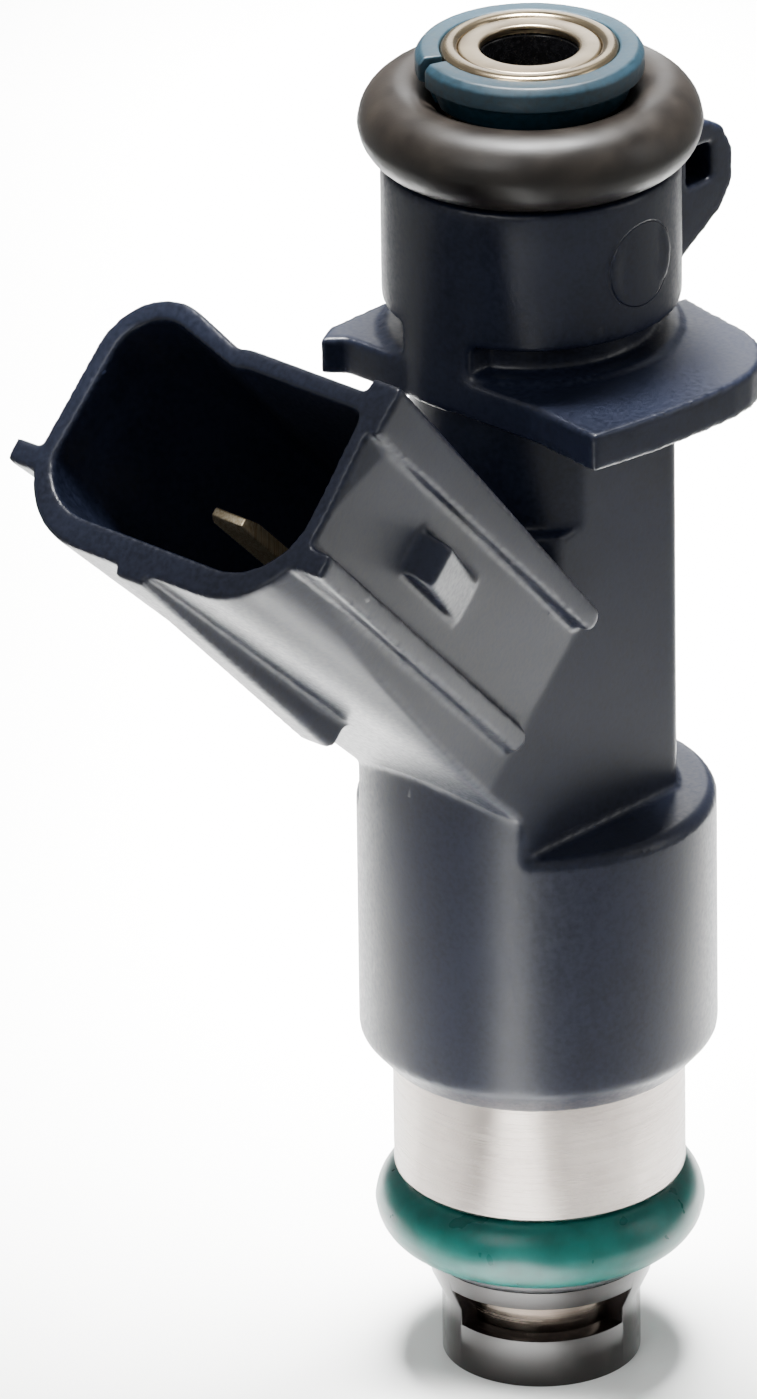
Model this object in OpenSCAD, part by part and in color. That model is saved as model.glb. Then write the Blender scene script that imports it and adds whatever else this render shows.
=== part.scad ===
// Port fuel injector with a side plug socket, cut into the pieces it is assembled from.
// Origin: centre of the spray tip's flat end. +Z runs up the injector's axis to the fuel inlet,
// and the plug socket leans out towards -X. All sizes are in millimetres.

/* [Lengths along the axis] */
// Height of the fuel inlet's rim above the spray tip
inlet_top = 61.6; // [61:0.1:62]
// Height of the underside of the steel valve housing
housing_bottom = 8.99; // [8.9:0.01:9.1]
// Height where the steel housing enters the plastic skirt
skirt_bottom = 14.5; // [14:0.1:15]
// Height of the skirt's shoulder
skirt_top = 27.03; // [26.8:0.01:27.3]
// Height of the underside of the clip flange
flange_bottom = 46.9; // [46.5:0.1:47.2]
// Height of the top of the clip flange
flange_top = 48.6; // [48.4:0.1:48.7]
// Height of the floor of the clip groove, on a low collar above the flange
groove_bottom = 48.8; // [48.75:0.05:49]
// Height of the top of the clip groove
groove_top = 50.12; // [49.9:0.01:50.3]
// Height of the neck's end face, where the upper O-ring sits
neck_top = 56.44; // [56.3:0.01:56.5]

/* [Radii about the axis] */
// Radius of the steel valve housing
housing_r = 6.326; // [6.3:0.002:6.35]
// Radius of the plastic skirt
skirt_r = 7.75; // [7.6:0.05:7.9]
// Radius of the plastic column
column_r = 6.03; // [5.9:0.01:6.1]
// Radius of the neck under the upper O-ring
neck_r = 6.376; // [6.3:0.002:6.4]
// Radius of the fuel inlet tube
inlet_r = 3.81; // [3.75:0.01:3.85]
// Radius of the valve tube at the lower O-ring
valve_tube_r = 3.75; // [3.7:0.01:3.78]
// Radius of the spray tip's cap
tip_r = 4.32; // [4.2:0.01:4.4]
// Half of the distance between the column's two flats
flat_half = 4.8; // [4.6:0.1:5]

/* [Seals] */
// Cord radius of the upper O-ring
upper_cord_r = 1.716; // [1.6:0.002:1.718]
// Outer radius of the upper O-ring
upper_ring_r = 7.3; // [7.2:0.01:7.35]
// Cord radius of the lower O-ring
lower_cord_r = 1.69; // [1.6:0.01:1.69]

/* [Plug socket] */
// Lean of the socket's axis away from the injector's axis
socket_lean = 45; // [44:0.5:46]
// Distance of the socket's mouth from the origin, along the socket's axis
mouth_d = 49.9; // [49.5:0.1:50.2]
// Distance of the socket's floor from the origin, along the socket's axis
floor_d = 33; // [32.5:0.1:34]
// Thickness of the socket's side walls
wall = 0.8; // [0.7:0.05:0.9]
// Half of the socket's outer width at the mouth
mouth_half = 7.75; // [7.7:0.05:7.8]
// Slope of the socket's roof and floor, which close in towards the column
socket_taper = 2.25; // [2:0.25:3]
// Spacing of the two terminals
pin_pitch = 5; // [4.8:0.1:5.2]
// Width of a terminal blade
blade_w = 2.3; // [2.2:0.1:2.4]
// Thickness of a terminal blade
blade_t = 0.64; // [0.6:0.01:0.7]

/* [Valve] */
// Lift of the valve between its seat and the pole face
valve_lift = 0.1; // [0.08:0.01:0.12]
// Radius of the valve ball
ball_r = 1.6; // [1.5:0.05:1.6]
// Running clearance of the armature in the valve tube
slide_gap = 0.05; // [0.03:0.01:0.08]
// Thickness of the return spring's wire
spring_wire = 0.36; // [0.3:0.02:0.4]
// Number of turns in the return spring
spring_turns = 8; // [6:1:9]

/* [Hidden] */
$fn = 96;
eps = 0.01;

body_plastic = "#484c58";
seal_rubber = "#46423e";
blue_plastic = "#34505f";
teal_rubber = "#00756b";
steel = "#bdb6af";
bright_steel = "#d2cac0";
dark_plastic = "#2a2422";
copper = "#a4602f";
tin_brass = "#cdbb93";

// Levels inside the valve, from the tip upwards.
tip_floor = 0.9;
plate_t = 0.2;
seat_bottom = tip_floor + plate_t;
seat_h = 3.1;
tube_bore_r = 3.2;
tube_nose_r = 3.45;
cap_top = 4.9;
seat_cone_low = 0.5;
ball_z = seat_bottom + seat_cone_low + ball_r * sqrt(2);
guide_t = 0.5;
guide_z = seat_bottom + seat_h;
pole_z = 22;
armature_h = 8.6;
armature_r = tube_bore_r - slide_gap;
armature_top = pole_z - valve_lift - 0.02;
needle_r = 1.15;
needle_bore_r = 0.75;
needle_top = armature_top - armature_h + 3.2;
spring_seat_z = needle_top;
spring_r = 1.12;
spring_len = 11.5;
adjuster_z = spring_seat_z + spring_len;
adjuster_h = 9;
pole_bore_r = 1.7;
filter_bore_r = 3.02;
filter_z = 47.5;
collar_ring_h = 2.6;
tube_joint_z = 19.5;
ring_top_z = 24.5;

// Magnet circuit.
housing_wall = 0.45;
housing_top = 25.6;
housing_floor = 1.2;
bobbin_low = housing_bottom + housing_floor + 0.3;
bobbin_high = 24.4;
bobbin_r = 5.8;
bobbin_tube_r = 4.45;
bobbin_flange = 0.8;
coil_r = 5.6;
washer_t = 1.2;

// Socket outline across its axis, as heights t and half widths y: a flat floor with round corners,
// and a flat roof with one raised, rounded corner on the +Y side that keys the plug.
shell_start_d = 23.5;
side_start_d = 27.8;
floor_t = 14.9;
roof_t = 25.55;
low_corner_r = 4.2;
lobe_r = 3.05;
lobe_t = 23.35;
lobe_y = 4.55;
lobe_end = 110;
lobe_foot_y = 0.86;
key_corner_r = 1.4;
hollow_floor_t = 16.25;
hollow_roof_t = 24.65;
hollow_low_r = 3.2;
hollow_lobe_r = 2.1;
hollow_lobe_foot_y = 0.6;
hollow_key_r = 0.5;
pin_t = 20;
blade_tip_d = 43;

// Points on an arc in the socket's plane, as [t, y], with the angle measured from +Y towards +t.
function arc(c, r, from, to, steps) =
    [for (i = [0:steps]) let (a = from + (to - from) * i / steps) [c[0] + r * sin(a), c[1] + r * cos(a)]];

// Floor and sides of an outline, open above the roof.
module lower_form(floor, half, r) {
    polygon(concat(
        arc([floor + r, half - r], r, -90, 0, 14), [[40, half], [40, -half]],
        arc([floor + r, -(half - r)], r, 180, 270, 14)));
}

// Roof, lobe and sides of an outline, open below the floor.
module upper_form(roof, half, lobe, foot, key) {
    polygon(concat(
        [[5, half]], arc([lobe_t, lobe_y], lobe, 0, lobe_end, 16), [[roof - 0.15, foot], [roof, foot - 0.8]],
        arc([roof - key, -(half - 0.25 - key)], key, 90, 180, 6), [[20, -half], [5, -half]]));
}

// Turns a form about a line across the mouth, at height t, so that it closes in towards the column.
module leaning(t, slope) {
    translate([t, 0, mouth_d]) rotate([0, slope, 0]) translate([-t, 0, -mouth_d]) children();
}

// Puts a shape drawn on the socket's own axes, x across its roof and z out of its mouth, in place.
module on_socket() { rotate([0, -socket_lean, 0]) children(); }

// Straight round wall between two radii.
module ring(r_in, r_out, z0, z1) {
    translate([0, 0, z0]) difference() {
        cylinder(r = r_out, h = z1 - z0);
        translate([0, 0, -eps]) cylinder(r = r_in, h = z1 - z0 + 2 * eps);
    }
}

// Round rubber ring about the axis.
module o_ring(cord_r, outer_r, z) {
    translate([0, 0, z]) rotate_extrude() translate([outer_r - cord_r, 0]) circle(r = cord_r, $fn = 64);
}

module between_flats(half, z0, z1, reach = 12) {
    translate([-reach, -half, z0]) cube([2 * reach, 2 * half, z1 - z0]);
}

// --- Moulded body -------------------------------------------------------------------------------

skirt_round = 1.1;
skirt_side = 15.74;
pocket_z = 41.4;
pocket_r = 5.27;
block_top = 36;
groove_r = 5.2;
web_half = 1.96;
lug_half = 2.75;
mark_r = 1.9;
mark_reach = 6.3;
rib_at_mouth = [17.4, 18.5];
rib_at_column = [18.05, 19.15];
rib_out = [0.5, 1.25];
rib_in = [0.4, 0.4];
rail_at_mouth = [23.9, 26.2];
rail_at_column = [24.1, 25.2];
rail_out = [0.85, 0.3];
rail_in = [0.6, 1.4];
keel_rib_t = [14.45, 14.15];
keel_rib_half = 0.85;
keel_rib_end = 33.5;
nub_t = [20.5, 22.5];
nub_d = [36.9, 42.8];
nub_proud = 1;

// Half width of the socket's side walls at distance d.
function side_at(d) = flat_half + (d - side_start_d) * (mouth_half - flat_half) / (mouth_d - side_start_d);

module skirt() {
    rotate_extrude() polygon([
        [0, skirt_bottom], [skirt_r - skirt_round, skirt_bottom], [skirt_r, skirt_side],
        [skirt_r, skirt_top - 0.3], [skirt_r - 0.3, skirt_top], [0, skirt_top]]);
}

module column() {
    intersection() {
        translate([0, 0, skirt_top - 1]) cylinder(r = column_r, h = flange_bottom - skirt_top + 1.5);
        between_flats(flat_half, skirt_top - 1, flange_bottom + 0.5);
    }
    // Wider front under the socket, the same radius as the skirt.
    intersection() {
        translate([0, 0, skirt_top - 1]) cylinder(r = skirt_r, h = block_top - skirt_top + 1);
        translate([-12, -flat_half, skirt_top - 1]) cube([12, 2 * flat_half, block_top - skirt_top + 1]);
    }
}

// Relief in the front of the column, between the socket's roof and the flange.
module front_pocket() {
    difference() {
        translate([-9, -9, pocket_z]) cube([9, 18, flange_bottom - pocket_z]);
        translate([0, 0, pocket_z - 1]) cylinder(r = pocket_r, h = flange_bottom - pocket_z + 2);
    }
}

// Side plan of the socket: parallel at the column, then wider towards the mouth.
module socket_plan(inset) {
    rotate([90, 0, 90]) linear_extrude(40) polygon([
        [inset - flat_half, 16], [flat_half - inset, 16], [flat_half - inset, side_start_d],
        [mouth_half - inset, mouth_d], [mouth_half - inset, mouth_d + 9], [inset - mouth_half, mouth_d + 9],
        [inset - mouth_half, mouth_d], [inset - flat_half, side_start_d]]);
}

// The socket's form from distance d0 to d1: its outline, closed in by the slopes and the side plan.
module socket_form(d0, d1, inset, floor, roof, low_r, lobe, foot, key) {
    half = mouth_half - inset;
    intersection() {
        leaning(floor, -socket_taper) translate([0, 0, d0 - 6]) linear_extrude(d1 - d0 + 12)
            lower_form(floor, half, low_r);
        leaning(roof, socket_taper) translate([0, 0, d0 - 6]) linear_extrude(d1 - d0 + 12)
            upper_form(roof, half, lobe, foot, key);
        socket_plan(inset);
        translate([0, -20, d0]) cube([60, 40, d1 - d0]);
    }
}

module socket_shell() {
    intersection() {
        on_socket() socket_form(shell_start_d, mouth_d, 0, floor_t, roof_t, low_corner_r,
                                lobe_r, lobe_foot_y, key_corner_r);
        // The shell stops at the column's middle.
        translate([-60, -20, 0]) cube([60, 40, 80]);
    }
}

module socket_hollow() {
    on_socket() socket_form(floor_d, mouth_d + 1, wall, hollow_floor_t, hollow_roof_t, hollow_low_r,
                            hollow_lobe_r, hollow_lobe_foot_y, hollow_key_r);
}

// Side plan of a rib on the -Y side, from depth in inside the side wall to out proud of it. Each is
// given as [at the column, at the mouth].
module rib_plan(out, in) {
    rotate([90, 0, 90]) linear_extrude(40) polygon([
        [-flat_half - out[0], side_start_d - 3], [-flat_half - out[0], side_start_d],
        [-mouth_half - out[1], mouth_d], [in[1] - mouth_half, mouth_d],
        [in[0] - flat_half, side_start_d], [in[0] - flat_half, side_start_d - 3]]);
}

// Long low rib on the socket's -Y side, from its mouth to a round end at the column. Each end is
// given as [low edge, high edge].
module side_rib(at_column, at_mouth, out, in) {
    half = (at_column[1] - at_column[0]) / 2;
    end_d = side_start_d + half;
    on_socket() intersection() {
        union() {
            rotate([90, 0, 0]) linear_extrude(12) polygon([
                [at_mouth[0], mouth_d], [at_mouth[1], mouth_d],
                [at_column[1], end_d], [at_column[0], end_d]]);
            translate([(at_column[0] + at_column[1]) / 2, 0, end_d]) rotate([90, 0, 0])
                cylinder(r = half, h = 12);
        }
        rib_plan(out, in);
    }
}

// Narrow keel under the socket.
module keel_rib() {
    on_socket() translate([0, keel_rib_half, 0]) rotate([90, 0, 0]) linear_extrude(2 * keel_rib_half)
        polygon([
            [keel_rib_t[0], mouth_d], [floor_t + 0.3, mouth_d], [floor_t + 1.3, keel_rib_end],
            [keel_rib_t[1] + 0.3, keel_rib_end], [keel_rib_t[1], keel_rib_end + 0.3]]);
}

// Small latch block on each side, which falls away towards the column.
module latch_nub() {
    on_socket() for (s = [-1, 1])
        translate([nub_t[0], 0, 0]) rotate([90, 0, 90]) linear_extrude(nub_t[1] - nub_t[0]) polygon([
            [s * (side_at(nub_d[0]) - 0.3), nub_d[0]], [s * (side_at(nub_d[0]) + 0.1), nub_d[0]],
            [s * (side_at(nub_d[1]) + nub_proud), nub_d[1] - 1.2],
            [s * (side_at(nub_d[1]) - 0.3), nub_d[1] + 0.5]]);
}

// Clip flange: a wide lobe towards -Y with a slightly curved rim, and a narrow lobe towards +Y.
flange_front = -6.2;
flange_back = 5.6;
wide_lobe_end = [[6.25, -4], [6.5, -2.9], [flange_back, -2.85]];
narrow_lobe = [[flange_front, 5], [-7, 5.8], [-5.8, 6.4], [3.4, 6.4], [5.3, 4.4], [flange_back, 2.9]];
rim_x = 1.2;
rim_y = -10.45;
rim_r = 37;
rim_half = 7.95;
rim_corner_r = 4.6;
module flange() {
    translate([0, 0, flange_bottom]) linear_extrude(flange_top - flange_bottom) union() {
        circle(r = neck_r);
        polygon(concat(
            [[flange_front, 0], [flange_front, -5.8]],
            [for (i = [0:4]) let (u = rim_half * (i / 4 - 1))
                [rim_x + u, rim_y + rim_r - sqrt(rim_r * rim_r - u * u)]],
            [for (a = [75:-15:15]) [rim_x + rim_corner_r * cos(a), rim_y + rim_corner_r * (1 - sin(a))]],
            wide_lobe_end, [[flange_back, 0]]));
        polygon(concat([[flange_front, 0]], narrow_lobe, [[flange_back, 0]]));
    }
}

module neck() {
    collar_low = flange_top - 0.5;
    web_h = groove_top - collar_low + 0.5;
    translate([0, 0, collar_low]) cylinder(r = groove_r, h = web_h);
    translate([0, 0, collar_low]) cylinder(r = neck_r, h = groove_bottom - collar_low);
    translate([0, 0, groove_top]) cylinder(r = neck_r, h = neck_top - groove_top);
    // Webs that bridge the clip groove at the front and at the lug.
    intersection() {
        translate([0, 0, collar_low]) cylinder(r = neck_r, h = web_h);
        union() {
            translate([-9, -web_half, collar_low]) cube([9, 2 * web_half, web_h]);
            translate([0, -lug_half, collar_low]) cube([9, 2 * lug_half, web_h]);
        }
    }
    for (s = [0, 1]) mirror([0, s, 0]) translate([0, 0, (groove_top + neck_top) / 2])
        rotate([90, 0, 0]) cylinder(r = mark_r, h = mark_reach);
}

// Pierced lug on the back of the neck, as [x, z].
lug_foot_x = 5.6;
lug_edge = [[6.5, 50.2], [9.1, 51.8], [9.85, 52.9], [9.85, 54.4], [9.2, 55.6], [8.2, 56.15]];
lug_hole_at = [6.9, 53.4];
lug_hole_size = [1.5, 1.7];
module lug() {
    translate([0, lug_half, 0]) rotate([90, 0, 0]) linear_extrude(2 * lug_half) difference() {
        polygon(concat([[lug_foot_x, lug_edge[0][1]]], lug_edge, [[lug_foot_x, lug_edge[5][1]]]));
        translate(lug_hole_at) square(lug_hole_size);
    }
}

module moulded_body() {
    color(body_plastic) difference() {
        union() {
            skirt();
            difference() {
                column();
                front_pocket();
            }
            socket_shell();
            for (s = [0, 1]) mirror([0, s, 0]) side_rib(rib_at_column, rib_at_mouth, rib_out, rib_in);
            side_rib(rail_at_column, rail_at_mouth, rail_out, rail_in);
            keel_rib();
            latch_nub();
            flange();
            neck();
            lug();
        }
        socket_hollow();
        translate([0, 0, skirt_bottom - 1])
            cylinder(r = housing_r, h = housing_top + washer_t - skirt_bottom + 1);
        translate([0, 0, housing_top]) cylinder(r = inlet_r, h = neck_top - housing_top + 1);
        for (s = [-1, 1]) terminal_form(s);
    }
}

// --- Fuel path ----------------------------------------------------------------------------------

inlet_round = 0.5;

module inlet_tube() {
    color(bright_steel) difference() {
        rotate_extrude() polygon(concat(
            [[0, pole_z], [tube_bore_r, pole_z], [tube_bore_r, ring_top_z],
             [inlet_r, ring_top_z], [inlet_r, inlet_top - inlet_round]],
            [for (a = [15:15:90])
                [inlet_r - inlet_round * (1 - cos(a)), inlet_top - inlet_round * (1 - sin(a))]],
            [[0, inlet_top]]));
        translate([0, 0, filter_z]) cylinder(r = filter_bore_r, h = inlet_top);
        translate([0, 0, pole_z - 1]) cylinder(r = pole_bore_r, h = inlet_top);
    }
}

collar_bore_r = 2.11;
collar_ring_top = inlet_top - 0.1;
filter_top = collar_ring_top - collar_ring_h;

module filter_collar() {
    color(bright_steel) ring(collar_bore_r, filter_bore_r, filter_top, collar_ring_top);
}

frame_r = 2.95;
frame_in = 2.35;
frame_ring = 1;
screen_in = 2.15;

module filter_frame() {
    color("#3b3b3b") union() {
        ring(frame_in, frame_r, filter_top - frame_ring, filter_top);
        translate([0, 0, filter_z + 0.2]) cylinder(r = frame_in + 0.15, h = frame_ring);
        for (a = [0:90:270]) rotate([0, 0, a + 45])
            translate([frame_in, -0.4, filter_z + 0.5]) cube([0.5, 0.8, filter_top - filter_z - 1]);
    }
}

module filter_screen() {
    color("#d9d6cc") ring(screen_in, frame_in, filter_z + 0.2 + frame_ring, filter_top - frame_ring);
}

adjuster_bore_r = 0.8;
module spring_adjuster() {
    color(steel) ring(adjuster_bore_r, pole_bore_r, adjuster_z, adjuster_z + adjuster_h);
}

// Return spring: one ring of wire for each turn, joined by a thin slanted bridge.
module return_spring() {
    coil_pitch = (spring_len - spring_wire) / spring_turns;
    color(steel) union() {
        for (i = [0:spring_turns])
            translate([0, 0, spring_seat_z + spring_wire / 2 + i * coil_pitch]) rotate_extrude($fn = 32)
                translate([spring_r, 0]) circle(r = spring_wire / 2, $fn = 16);
        for (i = [0:spring_turns - 1])
            translate([(i % 2 == 0 ? 1 : -1) * spring_r, 0, spring_seat_z + spring_wire / 2 + i * coil_pitch])
                cylinder(r = spring_wire / 2, h = coil_pitch, $fn = 16);
    }
}

// --- Moving valve -------------------------------------------------------------------------------

module armature() {
    color(steel) difference() {
        translate([0, 0, armature_top - armature_h]) cylinder(r = armature_r, h = armature_h);
        translate([0, 0, armature_top - armature_h - 1])
            cylinder(r = needle_r, h = needle_top - armature_top + armature_h + 1);
        translate([0, 0, needle_top]) cylinder(r = pole_bore_r, h = armature_h);
    }
}

cross_hole_r = 0.45;
cross_hole_rises = [3.2, 5.4];
module needle_tube() {
    color(bright_steel) difference() {
        translate([0, 0, ball_z]) cylinder(r = needle_r, h = needle_top - ball_z);
        translate([0, 0, ball_z - 1]) cylinder(r = needle_bore_r, h = needle_top);
        translate([0, 0, ball_z]) sphere(r = ball_r);
        // Cross holes that let the fuel out above the seat.
        for (rise = cross_hole_rises) translate([0, 0, ball_z + rise]) rotate([90, 0, 0])
            cylinder(r = cross_hole_r, h = 4, center = true, $fn = 32);
    }
}

module valve_ball() {
    color(bright_steel) translate([0, 0, ball_z]) sphere(r = ball_r);
}

// --- Seat and nozzle ----------------------------------------------------------------------------

module ball_guide() {
    flow_hole_r = 0.4;
    flow_circle_r = 2.35;
    color(steel) difference() {
        translate([0, 0, guide_z]) cylinder(r = tube_bore_r, h = guide_t);
        translate([0, 0, guide_z - 1]) cylinder(r = ball_r + slide_gap, h = 3);
        for (a = [0:60:300]) rotate([0, 0, a]) translate([flow_circle_r, 0, guide_z - 1])
            cylinder(r = flow_hole_r, h = 3, $fn = 32);
    }
}

module valve_seat() {
    cone_top = ball_r + slide_gap;
    throat = 0.55;
    color(steel) difference() {
        translate([0, 0, seat_bottom]) cylinder(r = tube_bore_r, h = seat_h);
        translate([0, 0, seat_bottom - 1]) cylinder(r = throat, h = seat_h + 2);
        // 90 degree seat that the ball closes on.
        translate([0, 0, seat_bottom + seat_cone_low - eps]) cylinder(r1 = 0, r2 = cone_top, h = cone_top);
        translate([0, 0, seat_bottom + seat_cone_low - eps + cone_top]) cylinder(r = cone_top, h = seat_h);
    }
}

module orifice_plate() {
    spray_hole_r = 0.12;
    spray_circle_r = 0.35;
    color(steel) difference() {
        translate([0, 0, tip_floor]) cylinder(r = tube_bore_r, h = plate_t);
        for (a = [45:90:315]) rotate([0, 0, a])
            translate([spray_circle_r, 0, tip_floor - 1]) cylinder(r = spray_hole_r, h = 2, $fn = 24);
    }
}

module valve_tube() {
    color(steel) difference() {
        union() {
            translate([0, 0, tip_floor]) cylinder(r = tube_nose_r, h = cap_top - tip_floor);
            translate([0, 0, cap_top]) cylinder(r = valve_tube_r, h = tube_joint_z - cap_top);
        }
        cylinder(r = tube_bore_r, h = tube_joint_z + 1);
    }
}

module non_magnetic_ring() {
    color("#8f8b85") ring(tube_bore_r, valve_tube_r, tube_joint_z, ring_top_z);
}

// --- Magnet circuit -----------------------------------------------------------------------------

module coil_bobbin() {
    color("#1d1f24") union() {
        ring(valve_tube_r, bobbin_tube_r, bobbin_low, bobbin_high);
        ring(valve_tube_r, bobbin_r, bobbin_low, bobbin_low + bobbin_flange);
        ring(valve_tube_r, bobbin_r, bobbin_high - bobbin_flange, bobbin_high);
    }
}

module coil_winding() {
    color(copper) ring(bobbin_tube_r, coil_r, bobbin_low + bobbin_flange, bobbin_high - bobbin_flange);
}

module valve_housing() {
    color(steel) difference() {
        translate([0, 0, housing_bottom]) cylinder(r = housing_r, h = housing_top - housing_bottom);
        translate([0, 0, housing_bottom + housing_floor])
            cylinder(r = housing_r - housing_wall, h = housing_top);
        translate([0, 0, housing_bottom - 1]) cylinder(r = valve_tube_r, h = housing_top);
    }
}

// Upper yoke: closes the housing over the coil, with a gap for the two terminals.
terminal_gap_half = 3.9;
terminal_gap_x = -3.6;
module yoke_washer() {
    color(steel) difference() {
        translate([0, 0, housing_top]) cylinder(r = housing_r, h = washer_t);
        translate([0, 0, housing_top - 1]) cylinder(r = inlet_r, h = washer_t + 2);
        translate([terminal_gap_x - 5, -terminal_gap_half, housing_top - 1])
            cube([5, 2 * terminal_gap_half, washer_t + 2]);
    }
}

// --- Terminals ----------------------------------------------------------------------------------

post_x = -4.1;
bend_z = pin_t * sqrt(2) - post_x;

// Bent strip of one terminal: a post along the injector's axis, then a straight blade along the socket.
module terminal_form(side) {
    half = blade_t / 2;
    mitre = half * (sqrt(2) - 1);
    translate([0, side * pin_pitch / 2 + blade_w / 2, 0]) rotate([90, 0, 0]) linear_extrude(blade_w) polygon([
        [post_x - half, bobbin_high], [post_x + half, bobbin_high], [post_x + half, bend_z + mitre],
        [(pin_t + half - blade_tip_d) / sqrt(2), (pin_t + half + blade_tip_d) / sqrt(2)],
        [(pin_t - half - blade_tip_d) / sqrt(2), (pin_t - half + blade_tip_d) / sqrt(2)],
        [post_x - half, bend_z - mitre]]);
}

module terminal(side) { color(tin_brass) terminal_form(side); }

module terminal_left() { terminal(-1); }
module terminal_right() { terminal(1); }

// --- Seals and outer trim -----------------------------------------------------------------------

module upper_o_ring() { color(seal_rubber) o_ring(upper_cord_r, upper_ring_r, neck_top + upper_cord_r); }

module lower_o_ring() {
    color(teal_rubber)
        o_ring(lower_cord_r, valve_tube_r + 2 * lower_cord_r, (washer_top + housing_bottom) / 2);
}

// Snap collar that keeps the upper O-ring on, split at one side.
module upper_collar() {
    collar_r = 4.85;
    collar_low = 59.3;
    collar_top = inlet_top - 0.1;
    split = 0.7;
    split_at = 152;
    color(blue_plastic) difference() {
        rotate_extrude() polygon([
            [inlet_r, collar_low], [collar_r - 0.75, collar_low], [collar_r - 0.35, collar_low + 1],
            [collar_r, collar_low + 1.15], [collar_r, collar_top - 0.3], [collar_r - 0.25, collar_top],
            [inlet_r, collar_top]]);
        rotate([0, 0, split_at]) translate([inlet_r - 1, -split / 2, collar_low - 1]) cube([4, split, 4]);
    }
}

washer_top = 5.6;
washer_r = 5.2;
module backup_washer() {
    color("#17171a") rotate_extrude() polygon([
        [valve_tube_r, cap_top], [washer_r - 0.2, cap_top], [washer_r, cap_top + 0.25],
        [washer_r, washer_top], [valve_tube_r, washer_top]]);
}

// Cap over the spray tip: a straight band that flares towards the washer, with two wide windows.
module tip_cap() {
    flare_z = 2.9;
    rim_z = 3.95;
    window_z = [2.2, 4];
    window_side = [4.7, 6.5];
    window_at = 43;
    edge = 0.5;
    spray_opening_r = 2.2;
    color(dark_plastic) difference() {
        rotate_extrude() polygon([
            [0, 0], [tip_r - edge, 0], [tip_r - 0.15, edge * 0.35], [tip_r, edge],
            [tip_r, flare_z], [4.8, rim_z], [5, cap_top], [0, cap_top]]);
        translate([0, 0, tip_floor]) cylinder(r = tube_nose_r, h = cap_top);
        translate([0, 0, -1]) cylinder(r = spray_opening_r, h = 3);
        for (s = [0, 180]) rotate([0, 0, window_at + s]) translate([0, 0, window_z[0]])
            linear_extrude(window_z[1] - window_z[0]) polygon([
                [0, 0], [window_side[0], -window_side[1]], [8, -window_side[1]],
                [8, window_side[1]], [window_side[0], window_side[1]]]);
    }
}

moulded_body();
inlet_tube();
filter_collar();
filter_frame();
filter_screen();
spring_adjuster();
return_spring();
armature();
needle_tube();
valve_ball();
ball_guide();
valve_seat();
orifice_plate();
valve_tube();
non_magnetic_ring();
coil_bobbin();
coil_winding();
valve_housing();
yoke_washer();
terminal_left();
terminal_right();
upper_o_ring();
lower_o_ring();
upper_collar();
backup_washer();
tip_cap();
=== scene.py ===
# Port fuel injector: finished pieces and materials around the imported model.
from math import cos, pi, radians, sin, tau

import bmesh
import bpy
from mathutils import Matrix, Vector


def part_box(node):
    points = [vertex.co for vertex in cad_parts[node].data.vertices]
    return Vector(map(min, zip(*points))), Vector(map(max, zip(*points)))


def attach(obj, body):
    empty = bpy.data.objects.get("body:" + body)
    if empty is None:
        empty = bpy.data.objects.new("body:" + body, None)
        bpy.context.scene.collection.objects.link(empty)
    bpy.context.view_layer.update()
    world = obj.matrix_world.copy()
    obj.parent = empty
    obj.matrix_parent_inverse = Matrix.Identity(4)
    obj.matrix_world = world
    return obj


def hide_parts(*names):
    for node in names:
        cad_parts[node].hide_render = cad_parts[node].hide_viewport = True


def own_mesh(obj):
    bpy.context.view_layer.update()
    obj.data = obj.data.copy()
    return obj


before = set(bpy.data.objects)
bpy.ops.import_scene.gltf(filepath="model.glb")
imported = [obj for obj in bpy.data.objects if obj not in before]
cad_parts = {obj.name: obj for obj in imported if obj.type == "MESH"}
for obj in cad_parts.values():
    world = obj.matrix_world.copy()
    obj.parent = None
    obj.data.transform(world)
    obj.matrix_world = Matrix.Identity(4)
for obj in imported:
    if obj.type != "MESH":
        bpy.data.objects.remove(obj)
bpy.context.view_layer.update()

MM = 0.001
BODY = "injector_body"

# --- Camera: the narrow view of a long lens, from above the open end of the plug socket ------------

CAMERA_AZIMUTH = radians(-47)
CAMERA_ELEVATION = radians(25.47)
CAMERA_ROLL = radians(-0.788)
CAMERA_DISTANCE = 730.4
CAMERA_AIM = Vector((0, 0, 30))
CAMERA_SIDESTEP = (-6.746, 0.897)
FRAME_HEIGHT_AT_AIM = 59.98
SENSOR_HEIGHT = 36


def place_camera():
    back = Vector((sin(CAMERA_AZIMUTH) * cos(CAMERA_ELEVATION),
                   -cos(CAMERA_AZIMUTH) * cos(CAMERA_ELEVATION), sin(CAMERA_ELEVATION)))
    level = Vector((cos(CAMERA_AZIMUTH), sin(CAMERA_AZIMUTH), 0))
    upright = back.cross(level)
    right = cos(CAMERA_ROLL) * level + sin(CAMERA_ROLL) * upright
    up = cos(CAMERA_ROLL) * upright - sin(CAMERA_ROLL) * level
    aim = CAMERA_AIM + CAMERA_SIDESTEP[0] * right + CAMERA_SIDESTEP[1] * up
    data = bpy.data.cameras.new("camera")
    data.sensor_fit = "VERTICAL"
    data.sensor_height = SENSOR_HEIGHT
    data.lens = SENSOR_HEIGHT * CAMERA_DISTANCE / FRAME_HEIGHT_AT_AIM
    data.clip_start = 0.01
    camera = bpy.data.objects.new("camera", data)
    bpy.context.scene.collection.objects.link(camera)
    turn = Matrix((right, up, back)).transposed().to_4x4()
    camera.matrix_world = Matrix.Translation((aim + CAMERA_DISTANCE * back) * MM) @ turn
    bpy.context.scene.camera = camera


# --- Light and floor ---------------------------------------------------------------------------------

LIGHT_AIM = Vector((0, 0, 32))
ROOM_LIGHT = 0.42


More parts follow.
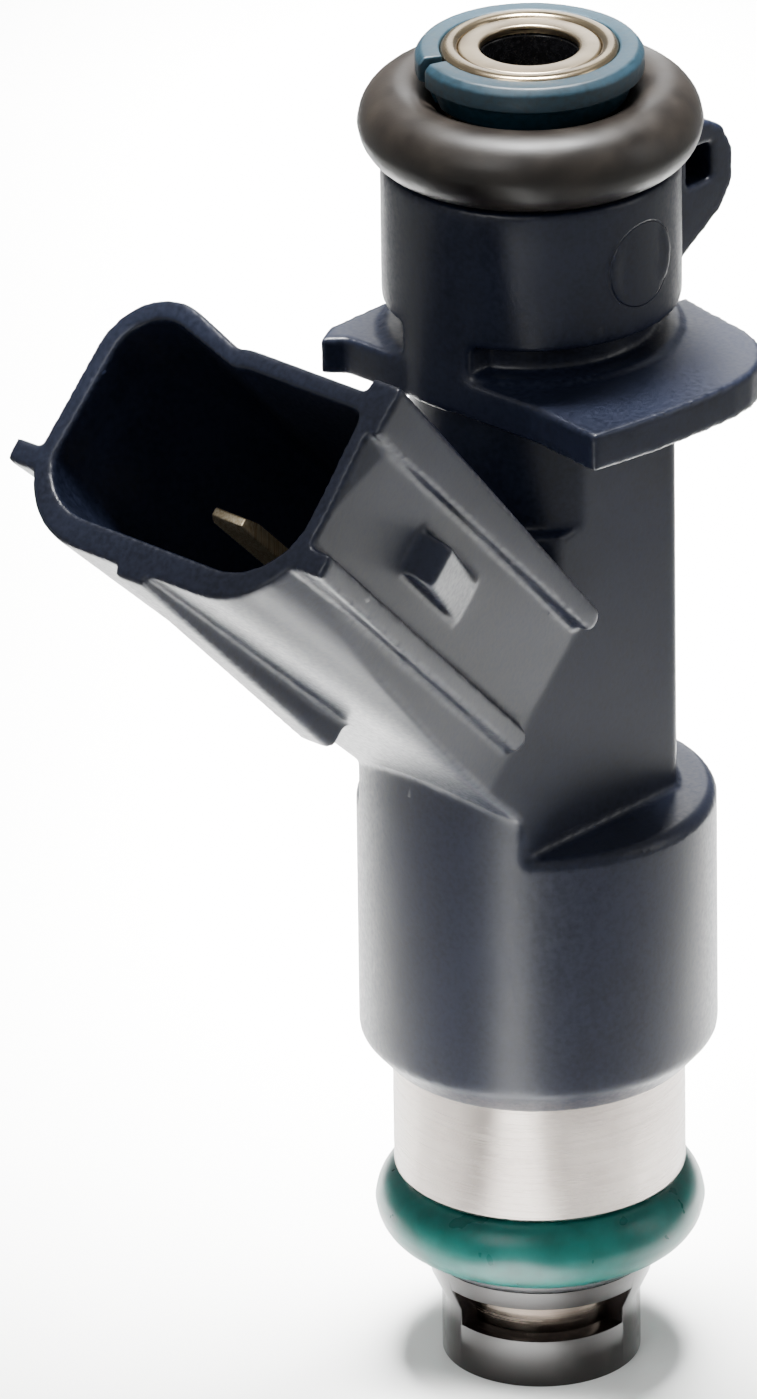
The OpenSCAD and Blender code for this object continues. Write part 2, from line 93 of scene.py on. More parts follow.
def light_panel(name, size, power, spread):
    """A rectangular light panel that the camera doesn't see."""
    data = bpy.data.lights.new(name, "AREA")
    data.shape = "RECTANGLE"
    data.size, data.size_y = size[0] * MM, size[1] * MM
    data.energy = power
    data.spread = radians(spread)
    panel = bpy.data.objects.new(name, data)
    bpy.context.scene.collection.objects.link(panel)
    panel.visible_camera = False
    return panel


def aimed_light(name, place, size, power):
    """A broad soft light that faces the middle of the part."""
    light = light_panel(name, size, power, spread=180)
    light.location = Vector(place) * MM
    light.rotation_euler = (Vector(place) - LIGHT_AIM).to_track_quat("Z", "Y").to_euler()


def floor_panel(name, bearing, near, far, width, height, power, spread):
    """A panel that hangs level over the floor, along one bearing from the axis, and lights only the
    floor under it."""
    panel = light_panel(name, (far - near, width), power, spread)
    middle = (near + far) / 2
    panel.location = Vector((middle * cos(bearing), middle * sin(bearing), height)) * MM
    panel.rotation_euler = (0, 0, bearing)


def light_studio():
    aimed_light("key_light", (-300, -60, 300), (160, 240), power=0.6)
    aimed_light("side_light", (210, -300, 160), (120, 260), power=0.25)
    aimed_light("rim_light", (300, 240, 140), (100, 260), power=0.3)
    # The lit floor behind is the pale ground of the view. The lit strip in front shows in the steel
    # and the plastic as one upright sheen.
    floor_panel("ground_panel", radians(44), near=2, far=170, width=64, height=150, power=0.75, spread=36)
    floor_panel("sheen_panel", radians(207), near=8, far=123, width=12, height=11, power=0.06, spread=50)
    world = bpy.data.worlds.new("studio")
    world.use_nodes = True
    background = world.node_tree.nodes["Background"]
    background.inputs["Color"].default_value = (1, 1, 1, 1)
    background.inputs["Strength"].default_value = ROOM_LIGHT
    bpy.context.scene.world = world


# --- Materials ---------------------------------------------------------------------------------------

def linear(code):
    """Linear colour of an sRGB hex value."""
    parts = [int(code[i:i + 2], 16) / 255 for i in (1, 3, 5)]
    return [c / 12.92 if c <= 0.04045 else ((c + 0.055) / 1.055) ** 2.4 for c in parts] + [1]


def per_size(mm):
    """Noise scale, on coordinates in metres, for features about this many millimetres across."""
    return 1 / (mm * MM)


def add(tree, kind, settings=None, inputs=None):
    """Adds a node, with its settings, and its inputs as values or as links from other sockets."""
    node = tree.nodes.new("ShaderNode" + kind)
    for name, value in (settings or {}).items():
        setattr(node, name, value)
    for name, value in (inputs or {}).items():
        if isinstance(value, bpy.types.NodeSocket):
            tree.links.new(value, node.inputs[name])
        else:
            node.inputs[name].default_value = value
    return node


def new_material(name):
    """A material with its shader node, and the object coordinates that its patterns are laid on."""
    material = bpy.data.materials.new(name)
    material.use_nodes = True
    tree = material.node_tree
    shader = tree.nodes["Principled BSDF"]
    coordinates = add(tree, "TexCoord").outputs["Object"]
    return material, tree, shader, coordinates


def set_values(shader, **values):
    for name, value in values.items():
        shader.inputs[name.replace("_", " ")].default_value = value


def join(tree, shader, **links):
    for name, socket in links.items():
        tree.links.new(socket, shader.inputs[name.replace("_", " ")])


MARK_LINE = 0.07
MARK_DEPTH = 0.05


def ejector_mark(tree, coordinates, height, radius):
    """1 on a thin circle round an axis along Y at that height, and 0 elsewhere, sizes in millimetres."""
    flat = add(tree, "VectorMath", {"operation": "MULTIPLY"}, {0: coordinates, 1: (1, 0, 1)})
    away = add(tree, "VectorMath", {"operation": "DISTANCE"},
               {0: flat.outputs[0], 1: (0, 0, height * MM)})
    off = add(tree, "Math", {"operation": "SUBTRACT"}, {0: away.outputs["Value"], 1: radius * MM})
    near = add(tree, "Math", {"operation": "ABSOLUTE"}, {0: off.outputs[0]})
    return add(tree, "MapRange", {"interpolation_type": "SMOOTHSTEP"},
               {"Value": near.outputs[0], "From Min": 0.0, "From Max": MARK_LINE * MM, "To Min": 1.0,
                "To Max": 0.0}).outputs[0]


def moulded_nylon(name, dark, light, roughness, grain=0.3, relief=0.012, cloud=4, mark=None,
                  gloss_level=0.5):
    # Glass-filled nylon, injection moulded: a satin skin whose grain shows as fine mottling, with
    # slightly paler clouds where the glass lies near the surface.
    material, tree, shader, coordinates = new_material(name)
    fine = add(tree, "TexNoise", inputs={"Vector": coordinates, "Scale": per_size(grain), "Detail": 3.0})
    clouds = add(tree, "TexNoise", inputs={"Vector": coordinates, "Scale": per_size(cloud), "Detail": 2.0})
    both = add(tree, "Math", {"operation": "MULTIPLY_ADD"},
               {0: clouds.outputs["Fac"], 1: 0.6, 2: fine.outputs["Fac"]})
    tint = add(tree, "ValToRGB", inputs={"Fac": both.outputs[0]})
    tint.color_ramp.elements[0].position, tint.color_ramp.elements[0].color = 0.5, linear(dark)
    tint.color_ramp.elements[1].position, tint.color_ramp.elements[1].color = 0.95, linear(light)
    gloss = add(tree, "MapRange", inputs={"Value": fine.outputs["Fac"], "From Min": 0.3, "From Max": 0.7,
                                          "To Min": roughness - 0.06, "To Max": roughness + 0.08})
    skin = add(tree, "Bump", inputs={"Height": fine.outputs["Fac"], "Strength": 0.5,
                                     "Distance": relief * MM})
    if mark:
        line = ejector_mark(tree, coordinates, *mark)
        skin = add(tree, "Bump", {"invert": True}, {"Height": line, "Strength": 1.0,
                                                    "Distance": MARK_DEPTH * MM,
                                                    "Normal": skin.outputs["Normal"]})
    join(tree, shader, Base_Color=tint.outputs["Color"], Roughness=gloss.outputs[0],
         Normal=skin.outputs["Normal"])
    set_values(shader, IOR=1.5, Specular_IOR_Level=gloss_level)
    return material


def turned_steel(name, dark, light, roughness, ring=0.09, relief=0.004):
    # Stainless steel, turned and then ground: the grit leaves fine rings round the axis, which
    # streak the reflections.
    material, tree, shader, coordinates = new_material(name)
    squeezed = add(tree, "Mapping", inputs={"Vector": coordinates, "Scale": (0.02, 0.02, 1.0)})
    rings = add(tree, "TexNoise", inputs={"Vector": squeezed.outputs[0], "Scale": per_size(ring),
                                          "Detail": 3.0})
    stains = add(tree, "TexNoise", inputs={"Vector": coordinates, "Scale": per_size(2.5), "Detail": 3.0})
    tint = add(tree, "ValToRGB", inputs={"Fac": stains.outputs["Fac"]})
    tint.color_ramp.elements[0].position, tint.color_ramp.elements[0].color = 0.3, linear(dark)
    tint.color_ramp.elements[1].position, tint.color_ramp.elements[1].color = 0.7, linear(light)
    gloss = add(tree, "MapRange", inputs={"Value": rings.outputs["Fac"], "From Min": 0.3, "From Max": 0.7,
                                          "To Min": roughness - 0.06, "To Max": roughness + 0.1})
    marks = add(tree, "Bump", inputs={"Height": rings.outputs["Fac"], "Strength": 0.6,
                                      "Distance": relief * MM})
    join(tree, shader, Base_Color=tint.outputs["Color"], Roughness=gloss.outputs[0],
         Normal=marks.outputs["Normal"])
    set_values(shader, Metallic=1.0)
    return material


def moulded_rubber(name, dark, light, roughness):
    # Fluorocarbon rubber, moulded and lightly oiled: an even satin skin with soft, uneven gloss.
    material, tree, shader, coordinates = new_material(name)
    film = add(tree, "TexNoise", inputs={"Vector": coordinates, "Scale": per_size(1.6), "Detail": 3.0})
    skin = add(tree, "TexNoise", inputs={"Vector": coordinates, "Scale": per_size(0.16), "Detail": 2.0})
    tint = add(tree, "ValToRGB", inputs={"Fac": film.outputs["Fac"]})
    tint.color_ramp.elements[0].position, tint.color_ramp.elements[0].color = 0.35, linear(dark)
    tint.color_ramp.elements[1].position, tint.color_ramp.elements[1].color = 0.7, linear(light)
    gloss = add(tree, "MapRange", inputs={"Value": film.outputs["Fac"], "From Min": 0.3, "From Max": 0.7,
                                          "To Min": roughness - 0.05, "To Max": roughness + 0.08})
    relief = add(tree, "Bump", inputs={"Height": skin.outputs["Fac"], "Strength": 0.35,
                                       "Distance": 0.008 * MM})
    join(tree, shader, Base_Color=tint.outputs["Color"], Roughness=gloss.outputs[0],
         Normal=relief.outputs["Normal"])
    set_values(shader, IOR=1.4)
    return material


def tinned_strip(name):
    # Stamped brass strip with bright tin plate: warm, with drawing lines along the blade.
    material, tree, shader, coordinates = new_material(name)
    turned = add(tree, "Mapping", inputs={"Vector": coordinates, "Rotation": (0, radians(45), 0),
                                          "Scale": (1.0, 1.0, 0.03)})
    lines = add(tree, "TexNoise", inputs={"Vector": turned.outputs[0], "Scale": per_size(0.08),
                                          "Detail": 2.0})
    tint = add(tree, "ValToRGB", inputs={"Fac": lines.outputs["Fac"]})
    tint.color_ramp.elements[0].position, tint.color_ramp.elements[0].color = 0.3, linear("#dcc79a")
    tint.color_ramp.elements[1].position, tint.color_ramp.elements[1].color = 0.7, linear("#fff2d6")
    marks = add(tree, "Bump", inputs={"Height": lines.outputs["Fac"], "Strength": 0.4,
                                      "Distance": 0.003 * MM})
    join(tree, shader, Base_Color=tint.outputs["Color"], Normal=marks.outputs["Normal"])
    set_values(shader, Metallic=1.0, Roughness=0.45)
    return material


def enamelled_copper(name):
    # Copper wire under a clear amber enamel: bright and reddish, with darker and paler lengths.
    material, tree, shader, coordinates = new_material(name)
    drift = add(tree, "TexNoise", inputs={"Vector": coordinates, "Scale": per_size(1.2), "Detail": 3.0})
    tint = add(tree, "ValToRGB", inputs={"Fac": drift.outputs["Fac"]})
    tint.color_ramp.elements[0].position, tint.color_ramp.elements[0].color = 0.3, linear("#8a4420")
    tint.color_ramp.elements[1].position, tint.color_ramp.elements[1].color = 0.7, linear("#c67a3e")
    join(tree, shader, Base_Color=tint.outputs["Color"])
    set_values(shader, Metallic=0.9, Roughness=0.3, Coat_Weight=0.6, Coat_Roughness=0.12)
    return material


WARP_THREADS = 60
WEFT_PITCH = 0.24


def woven_mesh(name):
    # Nylon filter cloth: a plain, off-white weave round the basket, its threads about 0.24 mm apart.
    material, tree, shader, coordinates = new_material(name)
    place = add(tree, "SeparateXYZ", inputs={0: coordinates})
    angle = add(tree, "Math", {"operation": "ARCTAN2"}, {0: place.outputs[1], 1: place.outputs[0]})
    warp = add(tree, "Math", {"operation": "MULTIPLY"}, {0: angle.outputs[0], 1: float(WARP_THREADS)})
    weft = add(tree, "Math", {"operation": "MULTIPLY"}, {0: place.outputs[2], 1: tau / (WEFT_PITCH * MM)})
    across = add(tree, "Math", {"operation": "SINE"}, {0: warp.outputs[0]})
    along = add(tree, "Math", {"operation": "SINE"}, {0: weft.outputs[0]})
    cloth = add(tree, "Math", {"operation": "MULTIPLY"}, {0: across.outputs[0], 1: along.outputs[0]})
    tint = add(tree, "ValToRGB", inputs={"Fac": cloth.outputs[0]})
    tint.color_ramp.elements[0].position, tint.color_ramp.elements[0].color = 0.0, linear("#6f6a60")
    tint.color_ramp.elements[1].position, tint.color_ramp.elements[1].color = 0.5, linear("#dcd7ca")
    threads = add(tree, "Bump", inputs={"Height": cloth.outputs[0], "Strength": 0.8,
                                        "Distance": 0.03 * MM})
    join(tree, shader, Base_Color=tint.outputs["Color"], Normal=threads.outputs["Normal"])
    set_values(shader, Roughness=0.6)
    return material


def studio_floor(name):
    # Matt white paper.
    material, _, shader, _ = new_material(name)
    set_values(shader, Base_Color=linear("#f7f7f5"), Roughness=0.8)
    return material


# --- Shaping -----------------------------------------------------------------------------------------

def shown(bm, name, material, nodes, sharp=35):
    """Turns a shape in millimetres into a finished piece that stands for the CAD nodes."""
    bmesh.ops.scale(bm, vec=(MM, MM, MM), verts=bm.verts)
    bmesh.ops.recalc_face_normals(bm, faces=bm.faces)
    mesh = bpy.data.meshes.new(name)
    bm.to_mesh(mesh)
    bm.free()
    mesh.polygons.foreach_set("use_smooth", [True] * len(mesh.polygons))
    mesh.set_sharp_from_angle(angle=radians(sharp))
    mesh.materials.append(material)
    piece = bpy.data.objects.new(name, mesh)
    bpy.context.scene.collection.objects.link(piece)
    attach(piece, BODY)
    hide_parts(*nodes)
    return piece


def ease(bm, width, segments=3, angle=30):
    """Rounds every edge that turns by more than the angle."""
    edges = [e for e in bm.edges if len(e.link_faces) == 2 and e.calc_face_angle(0) > radians(angle)]
    bmesh.ops.bevel(bm, geom=edges, offset=width, offset_type="OFFSET", affect="EDGES", segments=segments,
                    profile=0.5, material=-1, clamp_overlap=True)


def outline(bm, points):
    """A closed outline in the XZ plane, from radii and heights."""
    corners = [bm.verts.new((r, 0, z)) for r, z in points]
    edges = [bm.edges.new((corners[i - 1], corners[i])) for i in range(len(corners))]
    return corners, edges


def turned(points, steps=160):
    """A ring or tube turned round the axis from its section."""
    bm = bmesh.new()
    corners, edges = outline(bm, points)
    bmesh.ops.spin(bm, geom=corners + edges, cent=(0, 0, 0), axis=(0, 0, 1), angle=tau, steps=steps,
                   use_merge=True)
    bmesh.ops.recalc_face_normals(bm, faces=bm.faces)
    return bm


CORD_STEPS = 40
FLASH = 0.03


def round_section(r, z, cord):
    """Section of a round cord, with a faint ridge at its outer side where the mould closes."""
    points = []
    for i in range(CORD_STEPS):
        a = tau * i / CORD_STEPS
        reach = cord + (FLASH if i == 0 else 0)
        points.append((r + reach * cos(a), z + reach * sin(a)))
    return points


def node_shape(name):
    """The CAD node's mesh in millimetres, with its loose triangles joined."""
    bm = bmesh.new()
    bm.from_mesh(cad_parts[name].data)
    bmesh.ops.remove_doubles(bm, verts=bm.verts, dist=1e-7)
    bmesh.ops.scale(bm, vec=(1 / MM, 1 / MM, 1 / MM), verts=bm.verts)
    return bm


def with_modifier(bm, kind, **settings):
    """The shape after one modifier."""
    mesh = bpy.data.meshes.new("work")
    bm.to_mesh(mesh)
    bm.free()
    work = bpy.data.objects.new("work", mesh)
    bpy.context.scene.collection.objects.link(work)
    modifier = work.modifiers.new("work", kind)
    for name, value in settings.items():
        setattr(modifier, name, value)
    result = bmesh.new()
    result.from_object(work, bpy.context.evaluated_depsgraph_get())
    bpy.data.objects.remove(work)
    return result


def size_of(node):
    """Lowest and highest corner of a CAD node in millimetres."""
    low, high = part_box(node)
    return low / MM, high / MM


# --- Moulded body ------------------------------------------------------------------------------------

BODY_GRID = 0.115
BODY_EASING = 11
BODY_TRIANGLES = 190000
# The skin's grid is turned by odd angles, so that no flat face runs nearly along it and steps.
SKEW = Matrix.Rotation(radians(31), 3, "X") @ Matrix.Rotation(radians(17), 3, "Y")
TRUE_SKIN = 0.04
# Round faces of the body: radius, lowest and highest height where nothing else meets them.
ROUND_FACES = [(7.75, 16.0, 26.6), (6.376, 50.5, 56.1)]


def overmoulding(material):
    # The whole moulding is skinned afresh, which rounds its edges and fills its inner corners as a
    # mould's tool radii do.
    bm = node_shape("moulded_body")
    bmesh.ops.rotate(bm, verts=bm.verts, cent=(0, 0, 0), matrix=SKEW)
    bm = with_modifier(bm, "REMESH", mode="VOXEL", voxel_size=BODY_GRID, adaptivity=0.0)
    for _ in range(BODY_EASING):
        bmesh.ops.smooth_vert(bm, verts=bm.verts, factor=0.5, use_axis_x=True, use_axis_y=True,
                              use_axis_z=True)
    bm = with_modifier(bm, "DECIMATE", ratio=BODY_TRIANGLES / (2 * len(bm.faces)))
    bmesh.ops.rotate(bm, verts=bm.verts, cent=(0, 0, 0), matrix=SKEW.transposed())
    for vert in bm.verts:
        across = vert.co.xy.length
        for radius, low, high in ROUND_FACES:
            if low < vert.co.z < high and abs(across - radius) < TRUE_SKIN:
                vert.co.xy *= radius / across
    shown(bm, "overmoulding", material, ["moulded_body"], sharp=180)


# --- Fuel path ---------------------------------------------------------------------------------------

FILTER_BORE = 3.02


def inlet_tube(material):
    low, high = size_of("inlet_tube")
    bore, pole, outer = 1.7, 3.2, 3.81
    shoulder, filter_seat = 24.5, 47.5
    bm = turned([(bore, low.z), (pole, low.z), (pole, shoulder), (outer, shoulder), (outer, high.z),
                 (FILTER_BORE, high.z), (FILTER_BORE, filter_seat), (bore, filter_seat)])
    ease(bm, 0.3, segments=4)
    shown(bm, "inlet_tube_turned", material, ["inlet_tube"])


def filter_collar(material):
    # A pressed ring, turned in at its rim.
    low, high = size_of("filter_collar")
    bore, lip, wall_inside = 2.11, 0.4, 2.36
    bm = turned([(wall_inside, low.z), (FILTER_BORE, low.z), (FILTER_BORE, high.z), (bore, high.z),
                 (bore, high.z - lip), (wall_inside, high.z - lip)])
    ease(bm, 0.1, angle=20)
    shown(bm, "filter_collar_pressed", material, ["filter_collar"])


def filter_basket(material):
    # A moulded basket: four posts, a closed foot, and a sleeve up inside the steel collar. The sleeve's
    # near-black nylon covers the collar's bore as painted shade for the dark inside the inlet.
    low, high = size_of("filter_frame")
    collar_top = size_of("filter_collar")[1].z
    mouth, shade_sleeve, inner, outer = 2.12, 2.34, 2.35, 2.95
    ring, draft = 1.0, 0.12
    # Top of the near-black sleeve, which is painted shade inside the collar's bore.
    shade_sleeve_top = collar_top - 0.45
    post_size = Vector((0.5, 0.8, high.z - low.z - 1.2))
    bm = turned([(inner, high.z - ring), (outer, high.z - ring), (outer, high.z), (shade_sleeve, high.z),
                 (shade_sleeve, shade_sleeve_top), (mouth, shade_sleeve_top), (mouth, high.z - ring)], steps=96)
    foot = bmesh.ops.create_cone(bm, cap_ends=True, segments=64, radius1=inner, radius2=inner + draft,
                                 depth=ring)
    bmesh.ops.translate(bm, vec=(0, 0, low.z + ring / 2), verts=foot["verts"])
    for quarter in range(4):
        post = bmesh.ops.create_cube(bm, size=1)["verts"]
        bmesh.ops.scale(bm, vec=post_size, verts=post)
        bmesh.ops.translate(bm, vec=(inner + post_size.x / 2, 0, (low.z + high.z) / 2), verts=post)
        turn = Matrix.Rotation(pi / 4 + quarter * pi / 2, 3, "Z")
        bmesh.ops.rotate(bm, verts=post, cent=(0, 0, 0), matrix=turn)
    ease(bm, 0.06, angle=40)
    shown(bm, "filter_basket_moulded", material, ["filter_frame"])


# --- Seals -------------------------------------------------------------------------------------------

def seal(node, name, material):
    low, high = size_of(node)
    cord = (high.z - low.z) / 2
    bm = turned(round_section(high.x - cord, (low.z + high.z) / 2, cord), steps=180)
    shown(bm, name, material, [node], sharp=60)


SPLIT_AT = radians(152)
SPLIT_GAP = 0.7


def upper_collar(material):
    # A split ring with a tapered foot, which snaps over the inlet tube.
    low, high = size_of("upper_collar")
    bore, foot, taper_top, rim, outer = 3.81, 4.1, 4.5, 4.6, 4.85
    section = [(bore, low.z), (foot, low.z), (taper_top, low.z + 1), (outer, low.z + 1.15),
               (outer, high.z - 0.3), (rim, high.z), (bore, high.z)]
    bm = bmesh.new()
    corners, edges = outline(bm, section)
    cap = bm.faces.new(corners)
    half_gap = SPLIT_GAP / 2 / outer
    bmesh.ops.rotate(bm, verts=corners, cent=(0, 0, 0), matrix=Matrix.Rotation(SPLIT_AT + half_gap, 3, "Z"))
    bmesh.ops.spin(bm, geom=corners + edges + [cap], cent=(0, 0, 0), axis=(0, 0, 1),
                   angle=tau - 2 * half_gap, steps=150)
    bmesh.ops.recalc_face_normals(bm, faces=bm.faces)
    ease(bm, 0.09)
    shown(bm, "snap_collar", material, ["upper_collar"])


def backup_washer(material):
    low, high = size_of("backup_washer")
    bore, foot, chamfer = 3.75, 5, 0.25
    bm = turned([(bore, low.z), (foot, low.z), (high.x, low.z + chamfer), (high.x, high.z),
                 (bore, high.z)])
    ease(bm, 0.1)
    shown(bm, "backup_washer_moulded", material, ["backup_washer"])


# --- Housing and tip -----------------------------------------------------------------------------------

def valve_housing(material):
    low, high = size_of("valve_housing")
    wall, floor, bore = 0.45, 1.2, 3.75
    bm = turned([(bore, low.z), (high.x, low.z), (high.x, high.z), (high.x - wall, high.z),
                 (high.x - wall, low.z + floor), (bore, low.z + floor)], steps=192)
    ease(bm, 0.22, segments=4)
    shown(bm, "valve_housing_ground", material, ["valve_housing"])


def valve_tube(material):
    # Drawn tube, necked down where the tip cap grips it.
    low, high = size_of("valve_tube")
    bore, nose, outer, step = 3.2, 3.45, 3.75, 4.9
    bm = turned([(bore, low.z), (nose, low.z), (nose, step), (outer, step), (outer, high.z), (bore, high.z)])
    ease(bm, 0.05)
    shown(bm, "valve_tube_drawn", material, ["valve_tube"])


WINDOW_AT = radians(43)
WINDOW_LOW, WINDOW_HIGH = 2.2, 4.0
# Each window's plan widens from the axis to a corner at this depth and half width.
WINDOW_CORNER = (4.7, 6.5)
WINDOW_REACH = 8


def window_cutter():
    """Two wedges that cut the tip cap's windows, on opposite sides."""
    deep, half = WINDOW_CORNER
    bm = bmesh.new()
    for side in (0, pi):
        plan = [(0, 0, 0), (deep, -half, 0), (WINDOW_REACH, -half, 0), (WINDOW_REACH, half, 0),
                (deep, half, 0)]
        wedge = [bm.verts.new(corner) for corner in plan]
        top = bmesh.ops.extrude_face_region(bm, geom=[bm.faces.new(wedge)])["geom"]
        risen = [v for v in top if isinstance(v, bmesh.types.BMVert)]
        bmesh.ops.translate(bm, vec=(0, 0, WINDOW_HIGH - WINDOW_LOW), verts=risen)
        bmesh.ops.translate(bm, vec=(0, 0, WINDOW_LOW), verts=wedge + risen)
        bmesh.ops.rotate(bm, verts=wedge + risen, cent=(0, 0, 0),
                         matrix=Matrix.Rotation(WINDOW_AT + side, 3, "Z"))
    bmesh.ops.recalc_face_normals(bm, faces=bm.faces)
    mesh = bpy.data.meshes.new("windows")
    bm.to_mesh(mesh)
    bm.free()
    windows = bpy.data.objects.new("windows", mesh)
    bpy.context.scene.collection.objects.link(windows)
    return windows


def tip_cap(material):
    # A straight band that flares towards the washer, pierced by two wide windows.
    low, high = size_of("tip_cap")
    band, bore, floor, hole = 4.32, 3.45, 0.9, 2.2
    flare_z, rim, rim_z = 2.9, 4.8, 3.95
    bm = turned([(hole, low.z), (band, low.z), (band, flare_z), (rim, rim_z), (high.x, high.z),
                 (bore, high.z), (bore, low.z + floor), (hole, low.z + floor)], steps=144)
    windows = window_cutter()
    bm = with_modifier(bm, "BOOLEAN", operation="DIFFERENCE", solver="EXACT", object=windows)
    bpy.data.objects.remove(windows)
    bmesh.ops.remove_doubles(bm, verts=bm.verts, dist=1e-4)
    ease(bm, 0.12, angle=35)
    shown(bm, "tip_cap_moulded", material, ["tip_cap"])


# --- Terminals -----------------------------------------------------------------------------------------

BLADE_THICKNESS = 0.64
BEND_RADIUS = 0.5
COIN_LENGTH = 0.7
# What is left of the blade's thickness and width at its coined tip.
COIN_THICKNESS, COIN_WIDTH = 0.6, 0.75


def end_of(parts):
    """The corners among an extrusion's new parts, and their middle."""
    corners = [part for part in parts if isinstance(part, bmesh.types.BMVert)]
    return corners, sum((corner.co for corner in corners), Vector()) / len(corners)


def terminal(node, name, material):
    # A strip cut across, run up beside the coil, bent, and run out along the socket to a coined tip.
    low, high = size_of(node)
    half = BLADE_THICKNESS / 2
    out = Vector((-1, 0, 1)).normalized()
    inset = BLADE_THICKNESS * 0.35
    tip = Vector((low.x + inset, 0, high.z - inset))
    post = Vector((high.x - half, (low.y + high.y) / 2, low.z))
    bend_start = tip.z + tip.x - post.x - BEND_RADIUS * (2 ** 0.5 - 1)

    bm = bmesh.new()
    face = bmesh.ops.create_grid(bm, x_segments=1, y_segments=1, size=0.5)["verts"]
    bmesh.ops.scale(bm, vec=(BLADE_THICKNESS, high.y - low.y, 1), verts=face)
    bmesh.ops.translate(bm, vec=post, verts=face)
    run = bmesh.ops.extrude_face_region(bm, geom=list(bm.faces))["geom"]
    bmesh.ops.translate(bm, vec=(0, 0, bend_start - low.z), verts=end_of(run)[0])
    run = bmesh.ops.spin(bm, geom=run, cent=(post.x - BEND_RADIUS, 0, bend_start), axis=(0, -1, 0),
                         angle=pi / 4, steps=6)["geom_last"]
    run = bmesh.ops.extrude_face_region(bm, geom=run)["geom"]
    corners, middle = end_of(run)
    reach = (tip - middle).dot(out)
    bmesh.ops.translate(bm, vec=out * (reach - COIN_LENGTH), verts=corners)
    run = bmesh.ops.extrude_face_region(bm, geom=run)["geom"]
    corners, middle = end_of(run)
    bmesh.ops.translate(bm, vec=out * COIN_LENGTH, verts=corners)
    corners, middle = end_of(run)
    bmesh.ops.scale(bm, vec=(COIN_THICKNESS, COIN_WIDTH, COIN_THICKNESS),
                    space=Matrix.Translation(-middle), verts=corners)
    bmesh.ops.recalc_face_normals(bm, faces=bm.faces)
    ease(bm, 0.07, angle=35)
    shown(bm, name, material, [node])


# --- Inner pieces --------------------------------------------------------------------------------------

SPRING_TURNS = 9
SPRING_STEPS = 24
SPRING_WIRE_RADIUS = 0.18


def return_spring(material):
    low, high = size_of("return_spring")
    radius = high.x - SPRING_WIRE_RADIUS
    height = high.z - low.z - 2 * SPRING_WIRE_RADIUS
    steps = SPRING_TURNS * SPRING_STEPS
    bm = bmesh.new()
    circle = bmesh.ops.create_circle(bm, segments=12, radius=SPRING_WIRE_RADIUS, cap_ends=True)["verts"]
    bmesh.ops.rotate(bm, verts=circle, cent=(0, 0, 0), matrix=Matrix.Rotation(pi / 2, 3, "X"))
    bmesh.ops.translate(bm, vec=(radius, 0, low.z + SPRING_WIRE_RADIUS), verts=circle)
    bmesh.ops.spin(bm, geom=list(bm.verts) + list(bm.edges) + list(bm.faces), cent=(0, 0, 0),
                   axis=(0, 0, 1), dvec=(0, 0, height / steps), angle=tau * SPRING_TURNS, steps=steps)
    piece = shown(bm, "return_spring_wound", material, ["return_spring"])
    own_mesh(piece)


COIL_WIRE = 0.28
COIL_GROOVE = 0.09


def coil_winding(material):
    # The outer layer of wire shows as ridges, and the layers under it are one ring.
    low, high = size_of("coil_winding")
    inner = 4.45
    count = int((high.z - low.z) / COIL_WIRE)
    pitch = (high.z - low.z) / count
    crest = []
    for i in range(count):
        crest.append((high.x - COIL_GROOVE, low.z + (i + 0.08) * pitch))
        crest.append((high.x, low.z + (i + 0.5) * pitch))
        crest.append((high.x - COIL_GROOVE, low.z + (i + 0.92) * pitch))
    bm = turned([(inner, low.z)] + crest + [(inner, high.z)], steps=96)
    shown(bm, "coil_wound", material, ["coil_winding"], sharp=80)


# --- Assembly --------------------------------------------------------------------------------------------

FLOOR_RADIUS = 3000


def repaint(node, material):
    """Gives a CAD node that keeps its own shape a finished material."""
    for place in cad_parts[node].material_slots:
        place.material = material


def lay_floor():
    bm = bmesh.new()
    bmesh.ops.create_circle(bm, cap_ends=True, segments=96, radius=FLOOR_RADIUS * MM)
    mesh = bpy.data.meshes.new("floor")
    bm.to_mesh(mesh)
    bm.free()
    mesh.materials.append(studio_floor("matt_paper"))
    floor = bpy.data.objects.new("floor", mesh)
    bpy.context.scene.collection.objects.link(floor)


place_camera()
light_studio()
lay_floor()

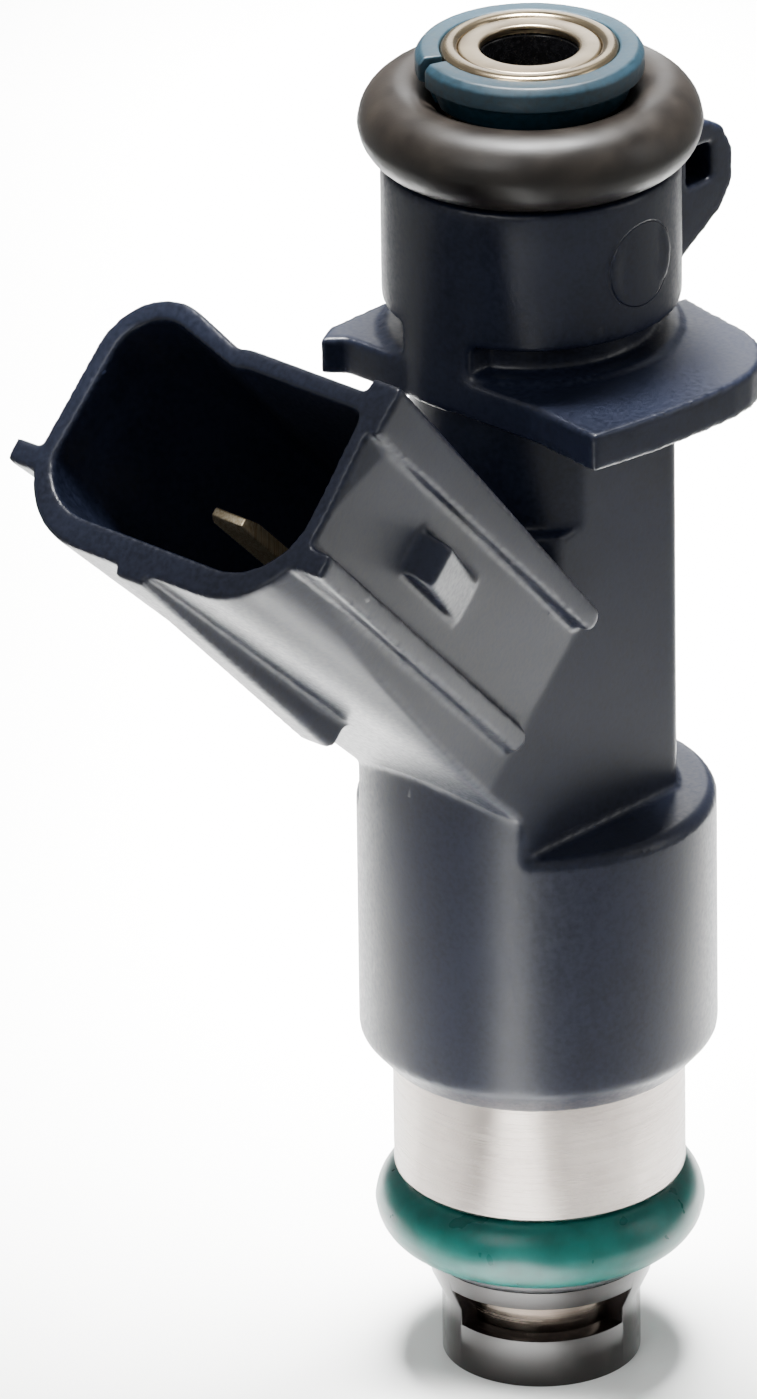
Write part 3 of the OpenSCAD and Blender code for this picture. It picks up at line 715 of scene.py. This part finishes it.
# Height and radius of the round ejector mark on each side of the neck.
NECK_MARK = (53.28, 1.9)
body_nylon = moulded_nylon("moulded_nylon_slate", "#0b0f1b", "#151a2a", 0.36, relief=0.008, grain=0.22,
                           mark=NECK_MARK, gloss_level=0.34)
black_nylon = moulded_nylon("moulded_nylon_black", "#0d0d10", "#1e1f24", 0.38, grain=0.2)
blue_nylon = moulded_nylon("moulded_nylon_blue", "#07191f", "#0e2b38", 0.45, grain=0.25)
tip_nylon = moulded_nylon("polished_nylon_brown", "#0b0908", "#1a1413", 0.15, grain=0.5, relief=0.003)
housing_steel = turned_steel("ground_stainless", "#aaa19b", "#c2b9b2", 0.24)
rim_steel = turned_steel("turned_stainless", "#7d705c", "#a8987c", 0.2, ring=0.07)
collar_steel = turned_steel("drawn_stainless", "#8b7d69", "#b3a48b", 0.3, ring=0.1)
plain_steel = turned_steel("machined_stainless", "#99948d", "#bdb7af", 0.34, ring=0.15)
dark_rubber = moulded_rubber("fluorocarbon_rubber_dark", "#130f0c", "#1e1914", 0.4)
teal_rubber = moulded_rubber("fluorocarbon_rubber_teal", "#00403c", "#00544e", 0.3)
tin_plate = tinned_strip("tinned_brass_strip")
copper_wire = enamelled_copper("enamelled_copper_wire")
filter_cloth = woven_mesh("woven_nylon_mesh")
# Near-black nylon: the filter basket's own dark colour, and painted shade where its sleeve lines the steel
# collar's bore.
basket_nylon_and_painted_shade = moulded_nylon("moulded_nylon_basket_and_painted_shade", "#070708", "#111114", 0.25, grain=0.2)
neck_steel = turned_steel("drawn_tube_stainless", "#7d7066", "#a3968a", 0.2, ring=0.12)

overmoulding(body_nylon)
inlet_tube(rim_steel)
filter_collar(collar_steel)
filter_basket(basket_nylon_and_painted_shade)
valve_tube(neck_steel)
seal("upper_o_ring", "upper_seal", dark_rubber)
seal("lower_o_ring", "lower_seal", teal_rubber)
upper_collar(blue_nylon)
backup_washer(black_nylon)
valve_housing(housing_steel)
tip_cap(tip_nylon)
terminal("terminal_left", "terminal_blade_left", tin_plate)
terminal("terminal_right", "terminal_blade_right", tin_plate)
return_spring(plain_steel)
coil_winding(copper_wire)

for node in ("armature", "ball_guide", "valve_seat", "orifice_plate", "yoke_washer", "spring_adjuster",
             "non_magnetic_ring"):
    repaint(node, plain_steel)
for node in ("needle_tube", "valve_ball"):
    repaint(node, housing_steel)
repaint("coil_bobbin", black_nylon)
repaint("filter_screen", filter_cloth)
